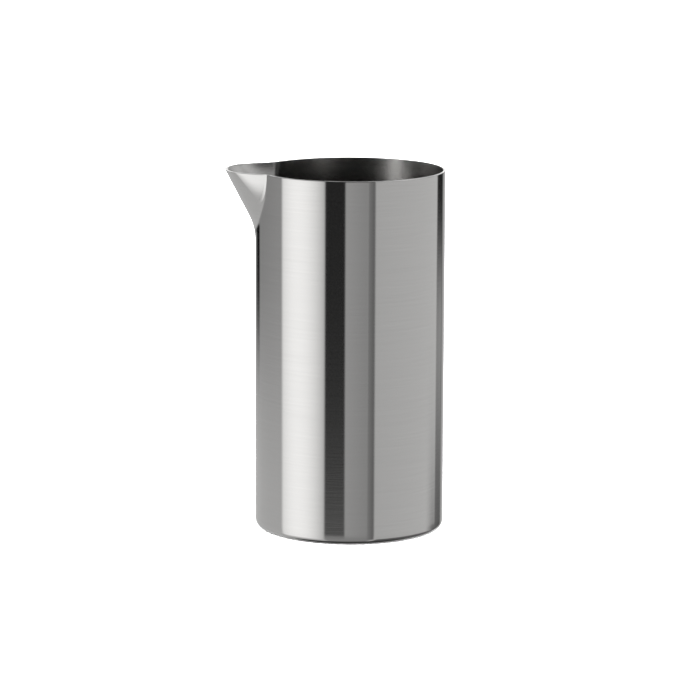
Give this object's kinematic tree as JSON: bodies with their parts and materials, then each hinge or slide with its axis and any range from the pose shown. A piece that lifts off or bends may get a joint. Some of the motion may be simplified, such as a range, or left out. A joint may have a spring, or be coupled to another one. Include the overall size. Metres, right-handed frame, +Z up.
{
  "type": "creamer",
  "caption": "Straight round cup of brushed steel with a slanted half-round spout at its rim, for serving cream or milk at the table.",
  "frame": {"origin": "middle of the base on the table, on the axis of the round body", "axes": "+Z up along the body's axis; the spout points along -X; the part is the same on both sides of the XZ plane"},
  "size_m": [0.0638, 0.055, 0.1045],
  "materials": {
    "brushed_steel": "satin",
    "spout_steel": "satin",
    "weld_steel": "satin"
  },
  "bodies": {
    "root": {"body_tube": "brushed_steel", "base_pan": "brushed_steel", "spout": "spout_steel", "base_weld": "weld_steel", "spout_weld": "weld_steel"}
  },
  "joints": []
}
